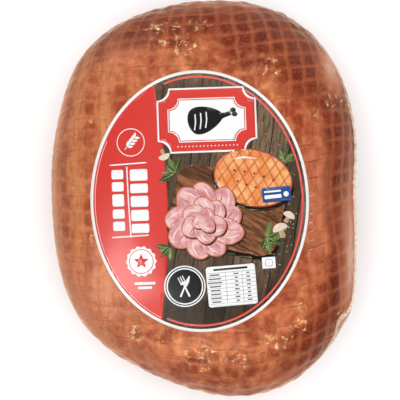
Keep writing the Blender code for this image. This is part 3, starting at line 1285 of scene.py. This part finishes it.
def label_rosette(press, inks, chance):
    """Three rings of overlapping slices, each with a shadow, a crust, a fold and a sheen."""
    cut, draw = press.on("print_slices")
    face = inks.pattern("slice", (226, 160, 160), slice_face)
    layer = 7.0
    rings = ((9, 15.5, 13.2, 9.8, 8), (6, 7.0, 10.6, 8.2, 30), (3, 2.2, 7.4, 5.6, 60))
    for count, away, long_half, short_half, first in rings:
        for step in range(count):
            turn = first + 360 * step / count + chance.uniform(-6, 6)
            reach = away * chance.uniform(0.92, 1.08)
            spot = placed([(reach, 0)], middle=(3, -14), turn=turn)[0]
            place = dict(middle=spot, turn=turn + chance.uniform(8, 22))
            size = chance.uniform(0.92, 1.06)
            outline = wavy_oval(long_half, short_half, step)
            cut("shadow", layer, outline, **dict(place, middle=beside(spot, 0.6, -0.9)), size=size * 1.01)
            cut("crust", layer + 0.4, outline, **place, size=size)
            cut(face, layer + 0.8, outline, **place, size=size * 0.93)
            for ink, width, shares in (
                ("fold", 0.9, ((-0.3, 0.35), (0.3, 0.1), (0.8, 0.3))),
                ("sheen", 1.3, ((0.0, -0.5), (0.45, -0.4), (0.8, -0.1))),
            ):
                line = [(x * long_half, y * short_half) for x, y in shares]
                draw(ink, layer + 1.2, line, (0.2, width, 0.2), **place, size=size)
            layer += 0.4


def label_greens(press, chance):
    """Sprays of leaves, three mushrooms, and scattered peppercorns and herbs."""
    cut, draw = press.on("print_leaves")
    for x, y, heading, count in ((46, -27, -20, 6), (-17, 20, 140, 5), (60, 26, 60, 4), (-22, -32, 215, 4)):
        for step in range(count):
            turn = heading + (step - (count - 1) / 2) * 34 + chance.uniform(-8, 8)
            length = chance.uniform(9, 13)
            place = dict(middle=(x, y), turn=turn)
            cut(("dark leaf", "leaf")[step % 2], 4 + 0.4 * step, leaf(length, length * 0.4), **place)
            draw("vein", 4.3 + 0.4 * step, [(0.5, 0), (length * 0.85, 0)], (0.5, 0.15), **place)

    cut, draw = press.on("print_mushrooms")
    stem = [(-1.6, 0), (1.6, 0), (2.1, -5.4), (0, -6.2), (-2.1, -5.4)]
    cap = [(5.6 * math.cos(part), 4.6 * math.sin(part)) for part in steps(0, math.pi, 17)]
    for x, y, turn, size in ((56, -22, 20, 1.0), (62, -13, -30, 0.8), (-24, 33, 200, 0.75)):
        place = dict(middle=(x, y), turn=turn, size=size)
        cut("tan", 6, stem, **place)
        cut("cream", 6.4, cap + [(-3, -0.9), (3, -0.9)], **place)
        draw("highlight", 6.8, [(-3.4, 1.8), (-1.5, 3.1), (0.6, 3.5)], (0.2, 0.7, 0.2), **place)

    cut, _ = press.on("print_seeds")
    for _ in range(420):
        x, y = on_oval(0, chance.uniform(-88, 98))
        out = chance.uniform(0.56, 0.93)
        x, y = x * out + chance.uniform(-6, 0), y * out
        if y > 32 and x < 45 or y < -42 and x < 44:
            continue
        size = chance.uniform(0.35, 0.75)
        shape = oval(size, size * chance.uniform(0.5, 1), 6)
        ink = chance.choices(("peppercorn", "pink peppercorn", "dried herb", "pale herb"), (2, 1, 4, 3))[0]
        cut(ink, 2, shape, middle=(x, y), turn=chance.uniform(0, 180))


def make_label(search):
    """The white oval, and the print on it."""
    inks = Inks()
    press = Press(search, inks)
    paper = new_grid("label_paper", 52, 62)
    places = vertex_array(paper)
    x, y = places[:, 0].copy(), places[:, 1].copy()
    places[:, 0] = x * np.sqrt(1 - y * y / 2) * LABEL_HALF_WIDTH * MM
    places[:, 1] = y * np.sqrt(1 - x * x / 2) * LABEL_HALF_LENGTH * MM
    set_vertices(paper, places)
    paper.data.materials.append(inks.flat("label paper", (253, 251, 247), strength=0.03))
    lay_down(paper, search)
    apply_modifier(paper, "SOLIDIFY", thickness=PAPER_THICKNESS, offset=-1)
    label_field(press, inks)
    chance = random.Random(4)
    label_ham(press, inks)
    label_rosette(press, inks, chance)
    label_greens(press, chance)
    label_plaque(press)
    label_red_side(press)
    label_table(press)
    label_medal(press)
    label_note(press)
    return [paper] + press.finish()


# ---- floor, lights and camera


def make_floor():
    floor = new_piece("floor", bpy.ops.mesh.primitive_plane_add, size=6)
    floor.data.materials.append(plain_material("pale floor", (0.95, 0.95, 0.95), 0.9))


def make_light(name, turn, rise, away, size, glow, colour=(1, 1, 1), mirrored=True):
    """An area light that faces the ham. glow is how bright its face is. It shows in gloss, or it lights."""
    turn, rise = math.radians(turn), math.radians(rise)
    aim = Vector((0, 0, BELT_HEIGHT))
    heading = Vector((math.cos(turn) * math.cos(rise), math.sin(turn) * math.cos(rise), math.sin(rise)))
    light = bpy.data.lights.new(name, "AREA")
    light.shape = "RECTANGLE"
    light.size, light.size_y = size
    light.energy = glow * math.pi * size[0] * size[1]
    light.color = colour
    obj = bpy.data.objects.new(name, light)
    bpy.context.scene.collection.objects.link(obj)
    obj.location = aim + heading * away
    obj.rotation_euler = heading.to_track_quat("Z", "Y").to_euler()
    obj.visible_glossy = mirrored
    obj.visible_diffuse = not mirrored


WARM = (1.0, 0.86, 0.58)
# Small lamps for the film's glints: turn, rise, and glow
WARM_LAMPS = ((98, 43, 90.0), (64, 43, 90.0), (-103, 31, 120.0), (-82, 35, 120.0), (-42, 36, 55.0))


def make_lights():
    world = bpy.data.worlds.new("soft room")
    bpy.context.scene.world = world
    world.use_nodes = True
    world.node_tree.nodes["Background"].inputs["Color"].default_value = (1, 1, 1, 1)
    world.node_tree.nodes["Background"].inputs["Strength"].default_value = 1.0
    world.cycles_visibility.glossy = False
    make_light("overhead fill", 90, 89, 2.4, (2.4, 2.4), 1.8, mirrored=False)
    make_light("upper left softbox", 124, 20, 1.0, (0.6, 0.3), 3.2)
    make_light("upper right softbox", 58, 10, 1.2, (1.3, 0.42), 1.7)
    make_light("lower left softbox", 216, 40, 1.2, (0.6, 1.0), 5.5)
    for turn, rise, glow in WARM_LAMPS:
        make_light("warm lamp", turn, rise, 1.4, (0.1, 0.1), glow, WARM)


def make_camera():
    """A long lens that looks straight down on the label."""
    camera = bpy.data.cameras.new("camera")
    camera.sensor_width = 36
    camera.lens = 36 * (CAMERA_HEIGHT - BELT_HEIGHT) / PICTURE_WIDTH_AT_BELT
    obj = bpy.data.objects.new("camera", camera)
    bpy.context.scene.collection.objects.link(obj)
    obj.location = (*PICTURE_MIDDLE, CAMERA_HEIGHT)
    bpy.context.scene.camera = obj


def main():
    bpy.context.scene.view_settings.view_transform = "Standard"
    search = smooth_guide()
    marks = net_marks()
    meat, film = make_ham(search, marks)
    on_film = search_of(film)
    creases = make_creases(on_film)
    seam = make_seam(on_film)
    for piece in (meat, film, creases, seam):
        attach(piece, "root")
        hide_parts("ham_in_film")
    for piece in make_label(search):
        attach(piece, "root")
        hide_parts("label")
    make_floor()
    make_lights()
    make_camera()


main()
